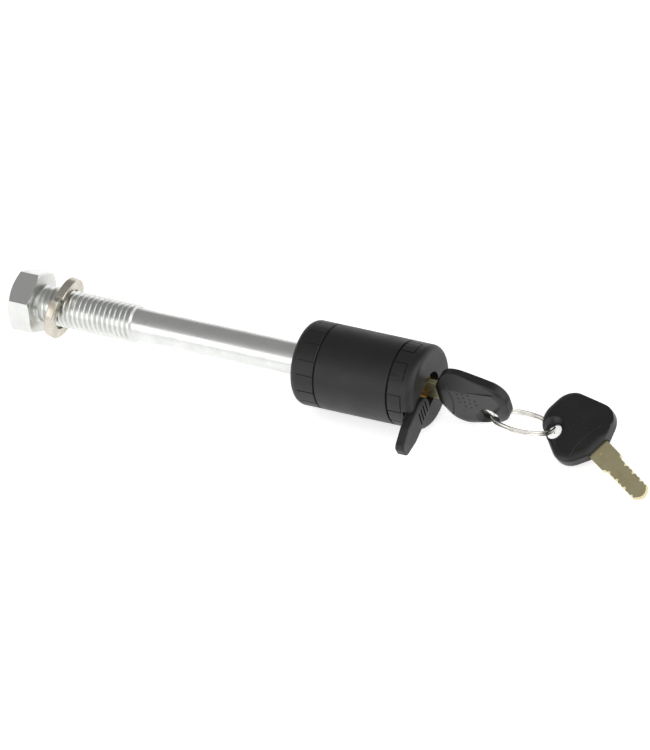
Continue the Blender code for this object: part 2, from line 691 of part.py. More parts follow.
def hole_cutter(frame):
    """The ring hole with a deep dish on both faces."""
    face = KEY_HEAD_THICKNESS / 2 + 0.5
    profile = [(-face, 0), (-face, DISH_RADIUS), (-WEB / 2, KEY_HOLE_RADIUS), (WEB / 2, KEY_HOLE_RADIUS),
               (face, DISH_RADIUS), (face, 0)]
    bm = turned(profile, 24)
    bmesh.ops.transform(bm, matrix=frame @ Matrix.Rotation(-math.pi / 2, 4, "Y"), verts=bm.verts)
    return bm


def inserted_frame():
    return axes((1, 0, 0), (0, 0, -1), (0, 1, 0), (SHOULDER_X, 0, 0))


def inserted_hole():
    return inserted_frame() @ Vector((*KEY_HOLE, 0))


def spare_frame():
    back = Vector((-math.cos(SPARE_YAW), -math.sin(SPARE_YAW), 0))
    level = Vector((0, 0, 1)).cross(back)
    side = level * math.cos(SPARE_ROLL) - Vector((0, 0, 1)) * math.sin(SPARE_ROLL)
    shoulder = SPARE_HOLE - back * KEY_HOLE[0] - side * KEY_HOLE[1]
    return axes(back, side, back.cross(side), shoulder)


def make_ring(parent):
    """Two turns of wire, its ends lying on the coil."""
    start, end = inserted_hole(), SPARE_HOLE
    along = (end - start).normalized()
    radius = (end - start).length / 2 - RING_SLACK
    centre = (start + end) / 2
    toward = Vector((0.0, -math.cos(RING_RISE), math.sin(RING_RISE)))
    toward = (toward - along * toward.dot(along)).normalized()
    normal = along.cross(toward)
    loops = []
    for k in range(RING_TURNS * RING_STEPS + 1):
        share = k / RING_STEPS
        angle = math.tau * share + RING_START
        spoke = along * math.cos(angle) + toward * math.sin(angle)
        middle = centre + spoke * radius + normal * RING_PITCH * (share - RING_TURNS / 2)
        loops.append([middle + (spoke * math.cos(a) + normal * math.sin(a)) * RING_WIRE
                      for a in (math.tau * j / 8 for j in range(8))])
    piece("key_ring", loft(loops), "ring_steel", parent)


# Assembly ------------------------------------------------------------------------------------

def main():
    for item in list(bpy.data.objects):
        bpy.data.objects.remove(item, do_unlink=True)

    pin = body("pin", (0, 0, 0))
    make_pin(pin)
    make_washer(body("washer", (WASHER_X, 0, 0), pin))

    lock_slide = body("lock_slide", (GROOVE_X, 0, 0), pin)
    make_seal(lock_slide)
    lock_body = body("lock_body", (GROOVE_X, 0, 0), lock_slide)
    make_covers(lock_body)
    make_front_cap(lock_body)
    make_housing(lock_body)
    make_shell(lock_body)
    make_ball("locking_ball_upper", 1, body("ball_upper", (GROOVE_X, 0, BALL_OUT), lock_body))
    make_ball("locking_ball_lower", -1, body("ball_lower", (GROOVE_X, 0, -BALL_OUT), lock_body))
    make_dust_cover(body("cover", (LOCK_FRONT, 0, 0), lock_body))

    plug = body("plug", (PLUG_FRONT, 0, 0), lock_body)
    make_cam(plug)
    make_plug(plug)
    rising = body("wafers_rising", (WAFER_FIRST, 0, 0), plug)
    falling = body("wafers_falling", (WAFER_FIRST, 0, 0), plug)
    for number, x in enumerate(wafer_stations(), start=1):
        make_wafer(number, x, rising if number % 2 else falling)

    key = body("key", (SHOULDER_X, 0, 0), plug)
    make_key("key", inserted_frame(), key)
    ring = body("ring", inserted_hole(), key)
    make_ring(ring)
    make_key("spare_key", spare_frame(), body("spare_key", SPARE_HOLE, ring))


main()
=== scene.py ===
"""Looks of the hitch pin lock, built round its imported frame.

Laid out as an add-on: settings, one operator for each piece or group of like pieces, and one panel.
Meshes are shaped in millimetres and written in metres, in the frame's own axes.
"""

import json
import math

import bmesh
import bpy
from bpy.props import FloatProperty, FloatVectorProperty, IntProperty, PointerProperty
from mathutils import Matrix, Vector


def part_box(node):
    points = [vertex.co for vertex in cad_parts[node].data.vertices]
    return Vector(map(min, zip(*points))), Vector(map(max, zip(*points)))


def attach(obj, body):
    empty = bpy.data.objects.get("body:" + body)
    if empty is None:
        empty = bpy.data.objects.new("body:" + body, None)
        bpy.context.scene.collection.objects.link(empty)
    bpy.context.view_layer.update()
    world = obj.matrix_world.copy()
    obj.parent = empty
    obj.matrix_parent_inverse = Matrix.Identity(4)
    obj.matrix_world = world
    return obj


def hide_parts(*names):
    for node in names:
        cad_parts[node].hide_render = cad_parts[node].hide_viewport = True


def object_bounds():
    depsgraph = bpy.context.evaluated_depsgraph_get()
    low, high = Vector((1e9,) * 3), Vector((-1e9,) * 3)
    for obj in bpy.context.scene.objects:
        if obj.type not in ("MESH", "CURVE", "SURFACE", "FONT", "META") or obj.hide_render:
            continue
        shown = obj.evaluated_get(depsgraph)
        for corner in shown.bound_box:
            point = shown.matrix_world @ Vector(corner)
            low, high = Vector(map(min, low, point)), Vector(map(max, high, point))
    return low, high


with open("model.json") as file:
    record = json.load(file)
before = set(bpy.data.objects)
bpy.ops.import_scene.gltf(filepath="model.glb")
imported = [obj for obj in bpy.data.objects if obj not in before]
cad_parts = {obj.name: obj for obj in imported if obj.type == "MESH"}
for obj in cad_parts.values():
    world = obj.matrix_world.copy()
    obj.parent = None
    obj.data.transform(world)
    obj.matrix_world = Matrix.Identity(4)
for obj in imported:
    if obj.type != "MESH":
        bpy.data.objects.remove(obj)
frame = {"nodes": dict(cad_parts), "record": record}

bl_info = {
    "name": "Hitch Pin Lock",
    "version": (1, 0, 0),
    "blender": (4, 5, 0),
    "location": "View3D > Sidebar > Hitch Lock",
    "description": "Builds the finished looks of a hitch pin lock round its frame",
    "category": "Object",
}

MM = 0.001
CAD_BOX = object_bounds()


# Places taken from the frame -----------------------------------------------------------------

def span(node):
    """Lowest and highest corner of a CAD node, in millimetres."""
    low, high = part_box(node)
    return Vector(low) / MM, Vector(high) / MM


def joint(name):
    """Position (mm) and axis of a joint in the record."""
    for item in frame["record"]["behaviour"]["joints"]:
        if item["name"] == name:
            return Vector(item.get("pos_m", (0, 0, 0))) / MM, Vector(item["axis"])
    raise KeyError(name)


PIN_END = span("hitch_pin")[1].x
REAR_LOW, REAR_HIGH = span("rear_cap")
SLEEVE_LOW, SLEEVE_HIGH = span("outer_sleeve")
FRONT_LOW, FRONT_HIGH = span("front_cap")
WASHER_LOW, WASHER_HIGH = span("lock_washer")
BARREL_RADIUS = SLEEVE_HIGH.y
BALL_X = (span("locking_ball_upper")[0].x + span("locking_ball_upper")[1].x) / 2
HEAD_START = 0.6                     # the key head begins this far behind the blade's shoulder
SHOULDER_X = span("key_head")[0].x - HEAD_START
KEY_HOLE_PLACE = joint("ring_swing")[0]
SPARE_HOLE_PLACE, SPARE_NORMAL = joint("spare_key_swing")
SLIDE_AXIS = joint("cover_slide")[1]

# Fixed by the parts they meet, in millimetres
BORE_GAP = 0.3
COVER_WALL = 1.2
REBATE = 0.5                         # step in each band's wall, where the sleeve's lip laps under it
LAP = 1.4

# Pin and washer
HEX_TURN = math.radians(14.2)
HEX_CHAMFER = math.tan(math.radians(30))
GROOVE_RADIUS = 5.0
GROOVE_HALF_WIDTH = 2.8
WASHER_INNER = 8.75
WASHER_OUTER = 13.0
WASHER_HALF_THICKNESS = 1.85
WASHER_SPREAD = 1.2                  # its ends are sprung this far apart along the pin
WASHER_GAP = math.radians(7)
WASHER_SPLIT = math.radians(112)     # from +Y toward +Z
WASHER_AXIS = (0.974, -0.080, -0.205)

# Dust cover: u runs from the pin's axis the way it opens
COVER_TOP = 5.3
COVER_SHOULDER = 22.5                # the finger tab narrows from here
COVER_TIP = 30.9
COVER_HALF_WIDTH = 5.4
COVER_BACK = 3.0                     # behind the front band's face
COVER_PROUD = 1.0                    # ahead of it
RAIL_REACH = 0.95
RAIL_RUN = (11.5, 20.0)
GRIP_FIRST = (8.0, 0.6)
GRIP_PITCH = 2.05
GRIP_COUNT = 4
GRIP_TURN = math.radians(-12.6)
GRIP_DEPTH = 0.8

# Keys and ring
SPARE_YAW = math.radians(-31.85)
KEY_HOLE = (22.6, 7.9)
HEAD_HALF_THICKNESS = 3.2
HEAD_EDGE = 1.6                      # half the thickness of the head at its rim
HEAD_CROWN = ((0.25, 0.40), (0.40, 0.40), (0.60, 0.36), (0.90, 0.28), (0.85, 0.16), (0.10, 0.0))
BLADE_HALF_THICKNESS = 1.1
BLADE_HALF_WIDE = 4.9
BLADE_HALF_NARROW = 3.9
BLADE_WIDE_RUN = 9.2
BLADE_LENGTH = 32.5
TANG = 9.0                           # blade moulded into the head
CUT_FIRST = 2.0
CUT_PITCH = 2.75
CUT_WIDTH = 2.2
UPPER_CUTS = (0.9, 0.3, 1.2, 0.5, 1.1, 0.2, 0.8)
LOWER_CUTS = (0.2, 1.1, 0.4, 1.2, 0.3, 1.0, 0.6)
DOT_ROWS = (3, 4, 4, 2)
DOT_PITCH = 2.5
DOT_RADIUS = 0.48
CRESCENT_RADIUS = 22.0
CRESCENT_SWEEP = math.radians(50)
RING_SLACK = 0.6                     # the wire sits this far inside each hole
RING_RISE = math.radians(38)
RING_START = math.radians(-10)
RING_TURNS = 2

# Stage, in metres
FLOOR_SHADE = 0.93
FLOOR_GLOW = 0.55                    # keeps the floor white round the part
SKY_GLOW = 0.35
LAMP_AIM = (0.13, 0, 0)
LAMPS = (("overhead", (0.5, -0.5, 0.9), 1.2, 5),
         ("left_front", (-0.6, -0.9, 0.5), 0.8, 4),
         ("right_side", (1.0, 0.1, 0.45), 0.7, 4))
LENS = 800
VIEW_LEAN = math.radians(25)
VIEW_ROLL = math.radians(12.38)
VIEW_DOWN = (0, -0.8211, -0.5708)    # toward the foot of the view, before the roll
VIEW_SHAPE = 15 / 13                 # height over width
VIEW_AIM = 0.0901                    # on the pin's axis
VIEW_SHIFT = (0.04367, -0.01368)     # from there to the middle of the view, right and up


# Settings ------------------------------------------------------------------------------------

def size_setting(label, words, default, least=0.05):
    """A length in millimetres."""
    return FloatProperty(name=label, description=words, default=default, min=least)


def colour_setting(label, default):
    return FloatVectorProperty(name=label, description=f"Base colour of the {label.lower()}",
                               subtype="COLOR", size=3, min=0, max=1, default=default)


class PinSettings(bpy.types.PropertyGroup):
    """Sizes of the pin, in millimetres."""
    flats: size_setting("Across flats", "Width of the hex head", 23.8, 10)
    head_length: size_setting("Head length", "Height of the hex head", 10.0, 2)
    thread_radius: size_setting("Thread radius", "Radius over the crests", 7.9, 1)
    root_radius: size_setting("Root radius", "Radius between the crests", 6.75, 1)
    pitch: size_setting("Pitch", "Distance from crest to crest", 25.4 / 11, 0.5)
    thread_end: size_setting("Thread end", "Where the thread stops", 54.9, 20)
    shank_radius: size_setting("Shank radius", "Radius of the plain shank", 6.6, 1)


class BarrelSettings(bpy.types.PropertyGroup):
    """Sizes of the lock's black covers, in millimetres."""
    rear_round: size_setting("Rear round", "Radius of the rear edge", 3.4)
    front_round: size_setting("Front round", "Radius of the front edge", 2.8)
    pads: IntProperty(name="Pads", description="Outlined pads round each band", default=8, min=2, max=24)
    pad_width: size_setting("Pad width", "Width of a pad round the band", 7.6, 1)
    line_width: size_setting("Line width", "Width of a pad's outline", 0.42)
    line_depth: size_setting("Line depth", "Depth of a pad's outline", 0.38)


class KeySettings(bpy.types.PropertyGroup):
    """Sizes of the keys and their ring, in millimetres."""
    head_length: size_setting("Head length", "Head, along the blade", 32.0, 10)
    head_half_width: size_setting("Head half width", "Head, across the blade", 14.0, 5)
    wire: size_setting("Wire radius", "Radius of the ring's wire", 0.5, 0.2)
    ring_pitch: size_setting("Ring pitch", "Between the ring's two turns", 1.15, 0.5)


class FinishSettings(bpy.types.PropertyGroup):
    """Colours of the finishes."""
    zinc: colour_setting("Zinc plate", (0.74, 0.75, 0.73))
    washer: colour_setting("Washer steel", (0.62, 0.59, 0.52))
    covers: colour_setting("Covers", (0.0042, 0.0043, 0.0040))
    key_heads: colour_setting("Key heads", (0.0042, 0.0043, 0.0041))
    blades: colour_setting("Blades", (0.68, 0.62, 0.40))
    brass: colour_setting("Brass", (0.74, 0.56, 0.30))
    steel: colour_setting("Inner steel", (0.46, 0.47, 0.49))
    wire: colour_setting("Ring wire", (0.78, 0.76, 0.71))
    rubber: colour_setting("Rubber", (0.020, 0.020, 0.020))


# Mesh tools ----------------------------------------------------------------------------------

def lathe(profile, segments=144):
    """Spins a closed outline of (x, radius) points about the X axis."""
    bm = bmesh.new()
    verts = [bm.verts.new((x, 0.0, r)) for x, r in profile]
    edges = [bm.edges.new(pair) for pair in zip(verts, verts[1:] + verts[:1])
             if pair[0].co.z > 0 or pair[1].co.z > 0]
    bmesh.ops.spin(bm, geom=verts + edges, axis=(1, 0, 0), cent=(0, 0, 0),
                   angle=math.tau, steps=segments, use_merge=True)
    bmesh.ops.remove_doubles(bm, verts=bm.verts, dist=0.0005)
    bmesh.ops.recalc_face_normals(bm, faces=bm.faces)
    return bm


def prism(outline, low, high, place=None):
    """Extrudes an outline of (u, v) points from w = low to high, then maps it through place."""
    bm = bmesh.new()
    face = bm.faces.new([bm.verts.new((u, v, low)) for u, v in outline])
    grown = bmesh.ops.extrude_face_region(bm, geom=[face])["geom"]
    bmesh.ops.translate(bm, verts=[g for g in grown if isinstance(g, bmesh.types.BMVert)],
                        vec=(0, 0, high - low))
    if place:
        bmesh.ops.transform(bm, matrix=place, verts=bm.verts)
    bmesh.ops.recalc_face_normals(bm, faces=bm.faces)
    return bm


def block(low, high):
    """A box between two corners."""
    low, high = Vector(low), Vector(high)
    bm = bmesh.new()
    bmesh.ops.create_cube(bm, size=1.0)
    bmesh.ops.scale(bm, vec=high - low, verts=bm.verts)
    bmesh.ops.translate(bm, vec=(low + high) / 2, verts=bm.verts)
    return bm


def coil(section, turns, steps, rise, place=None):
    """Sweeps a closed section of (x, radius) points round X, rising along X; both ends are capped."""
    bm = bmesh.new()
    verts = [bm.verts.new((x, 0.0, r)) for x, r in section]
    edges = [bm.edges.new(pair) for pair in zip(verts, verts[1:] + verts[:1])]
    count = round(steps * turns)
    bmesh.ops.spin(bm, geom=verts + edges, axis=(1, 0, 0), cent=(0, 0, 0), angle=math.tau * turns,
                   steps=count, dvec=(rise * turns / count, 0, 0), use_merge=False)
    bmesh.ops.holes_fill(bm, edges=[edge for edge in bm.edges if edge.is_boundary])
    bmesh.ops.recalc_face_normals(bm, faces=bm.faces)
    if place:
        bmesh.ops.transform(bm, matrix=place, verts=bm.verts)
    return bm


def quarter(x, radius, size, inward, steps=8):
    """A quarter round from the end face at x to the outside; inward is +1 or -1 along X."""
    points = []
    for k in range(steps + 1):
        angle = math.pi / 2 * k / steps
        points.append((x + inward * size * (1 - math.cos(angle)), radius - size * (1 - math.sin(angle))))
    return points


def rounded(corners, steps=8):
    """An outline whose corners (u, v, radius) are replaced by arcs."""
    outline = []
    for index, (u, v, radius) in enumerate(corners):
        here = Vector((u, v))
        back = (Vector(corners[index - 1][:2]) - here).normalized()
        ahead = (Vector(corners[(index + 1) % len(corners)][:2]) - here).normalized()
        half = back.angle(ahead) / 2
        centre = here + (back + ahead).normalized() * radius / math.sin(half)
        start = here + back * radius / math.tan(half) - centre
        sweep = start.angle_signed(here + ahead * radius / math.tan(half) - centre)
        for step in range(steps + 1):
            outline.append(tuple(centre + Matrix.Rotation(-sweep * step / steps, 2) @ start))
    return outline


def axes(u, v, w, origin=(0, 0, 0)):
    """The matrix whose columns are the directions u, v, w at origin."""
    return Matrix.Translation(Vector(origin)) @ Matrix((u, v, w)).transposed().to_4x4()


def moved(bm, matrix):
    """bm, mapped through matrix."""
    bmesh.ops.transform(bm, matrix=matrix, verts=bm.verts)
    return bm


def gathered(parts):
    """Several bmeshes in one, which stay separate shells."""
    whole = bmesh.new()
    for part in parts:
        mesh = bpy.data.meshes.new("gather")
        part.to_mesh(mesh)
        part.free()
        whole.from_mesh(mesh)
        bpy.data.meshes.remove(mesh)
    return whole


def carved(bm, tools, operation="DIFFERENCE"):
    """bm after an exact Boolean with each tool in turn."""
    made = []
    for index, shape in enumerate([bm] + list(tools)):
        mesh = bpy.data.meshes.new(f"carve_{index}")
        shape.to_mesh(mesh)
        shape.free()
        item = bpy.data.objects.new(mesh.name, mesh)
        bpy.context.collection.objects.link(item)
        made.append(item)
    for tool in made[1:]:
        step = made[0].modifiers.new("carve", "BOOLEAN")
        step.operation = operation
        step.solver = "EXACT"
        step.object = tool
    bpy.context.view_layer.update()
    result = bmesh.new()
    result.from_object(made[0], bpy.context.evaluated_depsgraph_get())
    for item in made:
        mesh = item.data
        bpy.data.objects.remove(item)
        bpy.data.meshes.remove(mesh)
    return result


def softened(bm, width, segments=2, angle=28):
    """bm with its sharp edges bevelled."""
    bmesh.ops.remove_doubles(bm, verts=bm.verts, dist=0.002)
    bmesh.ops.dissolve_degenerate(bm, edges=bm.edges, dist=0.002)
    limit = math.radians(angle)
    sharp = [edge for edge in bm.edges if len(edge.link_faces) == 2 and edge.calc_face_angle(0) > limit]
    bmesh.ops.bevel(bm, geom=sharp, offset=width, segments=segments, profile=0.5, affect="EDGES",
                    material=-1, clamp_overlap=True)
    return bm


def ends_broken(bm):
    """A coil with the edges of its two cut ends bevelled."""
    ends = [edge for edge in bm.edges if any(len(face.verts) > 4 for face in edge.link_faces)]
    bmesh.ops.bevel(bm, geom=ends, offset=0.15, segments=2, profile=0.5, affect="EDGES", material=-1)
    return bm


def finished(name, bm, finish, body, node=None, sharp=32):
    """Turns a bmesh (mm) into a named piece in metres that rides on body and stands for node."""
    bmesh.ops.scale(bm, vec=(MM, MM, MM), verts=bm.verts)
    mesh = bpy.data.meshes.new(name)
    bm.to_mesh(mesh)
    bm.free()
    mesh.shade_smooth()
    mesh.set_sharp_from_angle(angle=math.radians(sharp))
    mesh.materials.append(finish)
    made = bpy.data.objects.new(name, mesh)
    bpy.context.collection.objects.link(made)
    shading = made.modifiers.new("even_shading", "WEIGHTED_NORMAL")
    shading.keep_sharp = True
    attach(made, body)
    if node:
        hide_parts(node)
    return made


# Shared shader effects -----------------------------------------------------------------------

class Tree:
    """Adds linked nodes to a shader tree."""

    def __init__(self, tree):
        self.tree = tree

    def add(self, kind, inputs=(), **settings):
        """A new node; inputs is {socket: value or other node's output}."""
        node = self.tree.nodes.new(kind)
        for name, value in settings.items():
            setattr(node, name, value)
        for socket, value in dict(inputs).items():
            if isinstance(value, bpy.types.NodeSocket):
                self.tree.links.new(value, node.inputs[socket])
            else:
                node.inputs[socket].default_value = value
        return node

    def maths(self, operation, *values):
        return self.add("ShaderNodeMath", dict(enumerate(values)), operation=operation).outputs[0]

    def remap(self, value, low, high, to_low=0.0, to_high=1.0):
        node = self.add("ShaderNodeMapRange", {"Value": value, "From Min": low, "From Max": high,
                                               "To Min": to_low, "To Max": to_high})
        return node.outputs["Result"]

    def mix(self, factor, first, second):
        node = self.add("ShaderNodeMix", {"Factor": factor}, data_type="RGBA")
        for socket, value in ((6, first), (7, second)):
            if isinstance(value, bpy.types.NodeSocket):
                self.tree.links.new(value, node.inputs[socket])
            else:
                node.inputs[socket].default_value = (*value, 1.0)
        return node.outputs[2]

    def noise(self, vector, scale, detail=3.0, roughness=0.5):
        node = self.add("ShaderNodeTexNoise", {"Vector": vector, "Scale": scale, "Detail": detail,
                                               "Roughness": roughness})
        return node.outputs["Fac"]


def new_group(name, inputs, outputs):
    """An empty node group, its Tree, and its input and output nodes."""
    group = bpy.data.node_groups.new(name, "ShaderNodeTree")
    for label, default in inputs:
        socket = group.interface.new_socket(label, in_out="INPUT", socket_type="NodeSocketFloat")
        socket.default_value = default
    for label in outputs:
        group.interface.new_socket(label, in_out="OUTPUT", socket_type="NodeSocketFloat")
    tree = Tree(group)
    return tree, tree.add("NodeGroupInput"), tree.add("NodeGroupOutput")


def build_grain_group():
    """Spark-eroded mould texture: Height for the fine grain, Tone for slow patches."""
    tree, given, result = new_group("Mould Grain", [("Scale", 2400.0)], ["Height", "Tone"])
    place = tree.add("ShaderNodeTexCoord").outputs["Object"]
    cells = tree.add("ShaderNodeTexVoronoi", {"Vector": place, "Scale": given.outputs["Scale"]})
    fine = tree.noise(place, tree.maths("MULTIPLY", given.outputs["Scale"], 1.7), 4.0, 0.65)
    height = tree.maths("MULTIPLY_ADD", cells.outputs["Distance"], 0.6, fine)
    slow = tree.noise(place, tree.maths("MULTIPLY", given.outputs["Scale"], 0.035), 3.0)
    tree.tree.links.new(height, result.inputs["Height"])
    tree.tree.links.new(slow, result.inputs["Tone"])
    return tree.tree


def build_wear_group():
    """Mask of rubbed edges, broken up so that it is never an even line."""
    tree, given, result = new_group("Edge Wear", [("Radius", 0.0004), ("Breakup", 700.0)], ["Mask"])
    rounded_normal = tree.add("ShaderNodeBevel", {"Radius": given.outputs["Radius"]}, samples=4)
    flat_normal = tree.add("ShaderNodeNewGeometry").outputs["Normal"]
    dot = tree.add("ShaderNodeVectorMath", {0: rounded_normal.outputs[0], 1: flat_normal},
                   operation="DOT_PRODUCT").outputs["Value"]
    edge = tree.remap(dot, 0.995, 0.90)
    place = tree.add("ShaderNodeTexCoord").outputs["Object"]
    patches = tree.remap(tree.noise(place, given.outputs["Breakup"], 4.0, 0.6), 0.42, 0.62)
    tree.tree.links.new(tree.maths("MULTIPLY", edge, patches), result.inputs["Mask"])
    return tree.tree


def build_drawn_group():
    """Bar-stock lines: Lines run along X, Cloud is the plating's slow mottling, Specks its spangle."""
    tree, given, result = new_group("Drawn Metal", [("Across", 2600.0), ("Along", 90.0)],
                                    ["Lines", "Cloud", "Specks"])
    place = tree.add("ShaderNodeTexCoord").outputs["Object"]
    stretch = tree.add("ShaderNodeCombineXYZ", {"X": given.outputs["Along"], "Y": given.outputs["Across"],
                                                "Z": given.outputs["Across"]})
    drawn = tree.add("ShaderNodeVectorMath", {0: place, 1: stretch.outputs[0]}, operation="MULTIPLY")
    tree.tree.links.new(tree.noise(drawn.outputs[0], 1.0, 3.0, 0.6), result.inputs["Lines"])
    tree.tree.links.new(tree.noise(place, 140.0, 4.0, 0.6), result.inputs["Cloud"])
    tree.tree.links.new(tree.noise(place, 1900.0, 2.0, 0.7), result.inputs["Specks"])
    return tree.tree


def group_node(tree, name, **values):
    """A shared effect placed in a material with its own values."""
    builders = {"Mould Grain": build_grain_group, "Edge Wear": build_wear_group,
                "Drawn Metal": build_drawn_group}
    node = tree.add("ShaderNodeGroup")
    node.node_tree = bpy.data.node_groups.get(name) or builders[name]()
    for label, value in values.items():
        node.inputs[label].default_value = value
    return node


# Materials -----------------------------------------------------------------------------------

def new_material(name):
    """A material, its Tree and its Principled shader; None for the tree if it was made before."""
    name = f"{name}_finish"                 # the frame's own plain materials hold the bare names
    known = bpy.data.materials.get(name)
    if known:
        return known, None, None
    made = bpy.data.materials.new(name)
    made.use_nodes = True
    return made, Tree(made.node_tree), made.node_tree.nodes["Principled BSDF"]


def darker(colour, share):
    return tuple(part * share for part in colour)


def moulded_plastic(name, colour, roughness, grain_scale, grain_depth):
    """Black moulded plastic: fine eroded grain, slow tone, greyed and slightly polished edges."""
    made, tree, shader = new_material(name)
    if not tree:
        return made
    grain = group_node(tree, "Mould Grain", Scale=grain_scale)
    wear = group_node(tree, "Edge Wear", Radius=0.00035, Breakup=900.0)
    base = tree.mix(tree.remap(grain.outputs["Tone"], 0.35, 0.65), darker(colour, 0.82), darker(colour, 1.18))
    rubbed = tuple(part * 2.2 + 0.006 for part in colour)
    base = tree.mix(tree.maths("MULTIPLY", wear.outputs["Mask"], 0.55), base, rubbed)
    rough = tree.remap(grain.outputs["Tone"], 0.3, 0.7, roughness - 0.05, roughness + 0.06)
    rough = tree.maths("SUBTRACT", rough, tree.maths("MULTIPLY", wear.outputs["Mask"], 0.10))
    bump = tree.add("ShaderNodeBump", {"Height": grain.outputs["Height"], "Strength": 0.35,
                                       "Distance": grain_depth})
    tree.tree.links.new(base, shader.inputs["Base Color"])
    tree.tree.links.new(rough, shader.inputs["Roughness"])
    tree.tree.links.new(bump.outputs[0], shader.inputs["Normal"])
    shader.inputs["Specular IOR Level"].default_value = 0.50
    return made


def bright_metal(name, colour, roughness, across, along, depth=0.00001, mottle=0.12, warm=(1, 1, 1)):
    """Plated or machined metal: drawn lines, cloudy plating, specks and brighter rubbed edges."""
    made, tree, shader = new_material(name)
    if not tree:
        return made
    drawn = group_node(tree, "Drawn Metal", Across=across, Along=along)
    wear = group_node(tree, "Edge Wear", Radius=0.0003, Breakup=1100.0)
    cloud = tree.remap(drawn.outputs["Cloud"], 0.35, 0.65)
    dull = tuple(part * (1 - mottle) * tint for part, tint in zip(colour, warm))
    base = tree.mix(cloud, dull, colour)
    specks = tree.remap(drawn.outputs["Specks"], 0.58, 0.72)
    base = tree.mix(tree.maths("MULTIPLY", specks, 0.25), base, darker(colour, 0.72))
    bright = tuple(min(1.0, part * 1.12 + 0.03) for part in colour)
    base = tree.mix(tree.maths("MULTIPLY", wear.outputs["Mask"], 0.6), base, bright)
    rough = tree.remap(drawn.outputs["Cloud"], 0.3, 0.7, roughness + 0.07, roughness - 0.05)
    rough = tree.maths("ADD", rough, tree.maths("MULTIPLY", drawn.outputs["Lines"], 0.08))
    height = tree.maths("MULTIPLY_ADD", drawn.outputs["Specks"], 0.35, drawn.outputs["Lines"])
    bump = tree.add("ShaderNodeBump", {"Height": height, "Strength": 0.4, "Distance": depth})
    tree.tree.links.new(base, shader.inputs["Base Color"])
    tree.tree.links.new(rough, shader.inputs["Roughness"])
    tree.tree.links.new(bump.outputs[0], shader.inputs["Normal"])
    shader.inputs["Metallic"].default_value = 1.0
    return made


def finishes():
    """Every finish of the object, from the colour settings."""
    colours = bpy.context.scene.hitch_finish
    return {
        "zinc_plate": bright_metal("zinc_plate", tuple(colours.zinc), 0.27, 2600, 70, 0.000012, 0.10),
        "washer_steel": bright_metal("washer_steel", tuple(colours.washer), 0.26, 1500, 1500, 0.00001,
                                     0.20, (1.0, 0.95, 0.85)),
        "black_plastic": moulded_plastic("black_plastic", tuple(colours.covers), 0.50, 2600, 0.00006),
        "key_plastic": moulded_plastic("key_plastic", tuple(colours.key_heads), 0.40, 3200, 0.00003),
        "key_nickel": bright_metal("key_nickel", tuple(colours.blades), 0.34, 260, 2600, 0.000012,
                                   0.16, (1.0, 0.97, 0.88)),
        "brass": bright_metal("brass", tuple(colours.brass), 0.33, 900, 900, 0.00001, 0.20, (1.0, 0.92, 0.8)),
        "inner_steel": bright_metal("inner_steel", tuple(colours.steel), 0.36, 400, 2200, 0.00001, 0.18),
        "ring_steel": bright_metal("ring_steel", tuple(colours.wire), 0.18, 1800, 1800, 0.000006, 0.10),
        "seal_rubber": moulded_plastic("seal_rubber", tuple(colours.rubber), 0.68, 1800, 0.00005),
    }


# Operators -----------------------------------------------------------------------------------

ALONG_PIN = axes((0, 1, 0), (0, 0, 1), (1, 0, 0))


